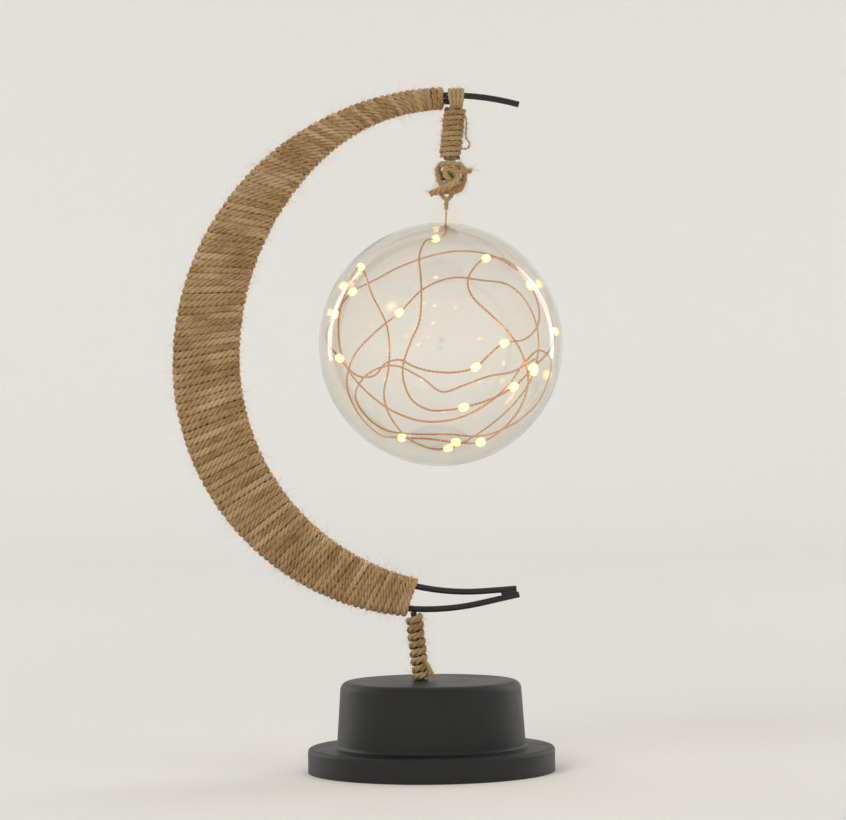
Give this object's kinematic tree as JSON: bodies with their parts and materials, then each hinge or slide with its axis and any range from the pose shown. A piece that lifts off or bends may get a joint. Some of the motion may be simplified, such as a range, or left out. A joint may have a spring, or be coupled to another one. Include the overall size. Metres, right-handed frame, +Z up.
{
  "type": "hanging moon lamp",
  "caption": "Table lamp: a clear ball of small warm lights hangs from a twine-wound crescent that stands on a round black battery base.",
  "frame": {"origin": "middle of the base, on the surface that the lamp stands on", "axes": "+Z up, +Y to the back where the switch is, +X to the right as seen from the front"},
  "size_m": [0.1606, 0.1014, 0.2804],
  "materials": {
    "base_plastic": "fine matte, black ABS",
    "switch_plastic": "smooth, black",
    "black_iron": "satin black powder coat",
    "jute_twine": "natural three-ply jute, hairy",
    "clear_plastic": "clear, polished",
    "copper": "enamelled copper wire",
    "led_resin": "clear resin drop with a warm white light",
    "zinc_steel": "zinc plated",
    "spring_steel": "nickel plated",
    "battery_case": "gloss wrap with a copper-coloured end",
    "board_laminate": "green solder mask",
    "wire_cover": "red PVC cover"
  },
  "bodies": {
    "stand": {"base_housing": "base_plastic", "bottom_cover": "base_plastic", "cover_screws": "zinc_steel", "battery_1": "battery_case", "battery_2": "battery_case", "battery_3": "battery_case", "contact_springs": "spring_steel", "contact_plates": "spring_steel", "circuit_board": "board_laminate", "feed_wires": "wire_cover", "switch_body": "switch_plastic", "stem_rod": "black_iron", "stem_washer": "zinc_steel", "stem_nut": "zinc_steel", "stem_wrap": "jute_twine", "outer_arc_wire": "black_iron", "inner_arc_wire": "black_iron", "arc_spacers": "black_iron", "crescent_wrap": "jute_twine", "lead_wire": "copper"},
    "battery_door": {"battery_door": "base_plastic"},
    "rocker": {"switch_rocker": "switch_plastic"},
    "hanger": {"hanger_core": "jute_twine", "hanger_wrap": "jute_twine"},
    "knot": {"hanger_knot": "jute_twine", "hanging_loop": "jute_twine"},
    "ball": {"ball_front_half": "clear_plastic", "ball_rear_half": "clear_plastic", "led_wire": "copper", "led_beads": "led_resin"}
  },
  "joints": [
    {"name": "door_hinge", "type": "hinge", "parent": "stand", "child": "battery_door", "pos_m": [-0.02845, 0, 0.0017], "axis": [0, 1, 0], "range_deg": [0, 85]},
    {"name": "rocker_pivot", "type": "hinge", "parent": "stand", "child": "rocker", "pos_m": [0, 0.03671, 0.0265], "axis": [0, 0, 1], "range_deg": [0, 24]},
    {"name": "hanger_swing", "type": "hinge", "parent": "stand", "child": "hanger", "pos_m": [0.01131, 0, 0.27654], "axis": [1, 0, 0], "range_deg": [-15, 15]},
    {"name": "knot_twist", "type": "hinge", "parent": "hanger", "child": "knot", "pos_m": [0.01026, 0, 0.24976], "axis": [0, 0, 1], "range_deg": [-45, 45]},
    {"name": "ball_swing", "type": "hinge", "parent": "knot", "child": "ball", "pos_m": [0.00866, 0, 0.23031], "axis": [0, 1, 0], "range_deg": [-20, 20]}
  ]
}
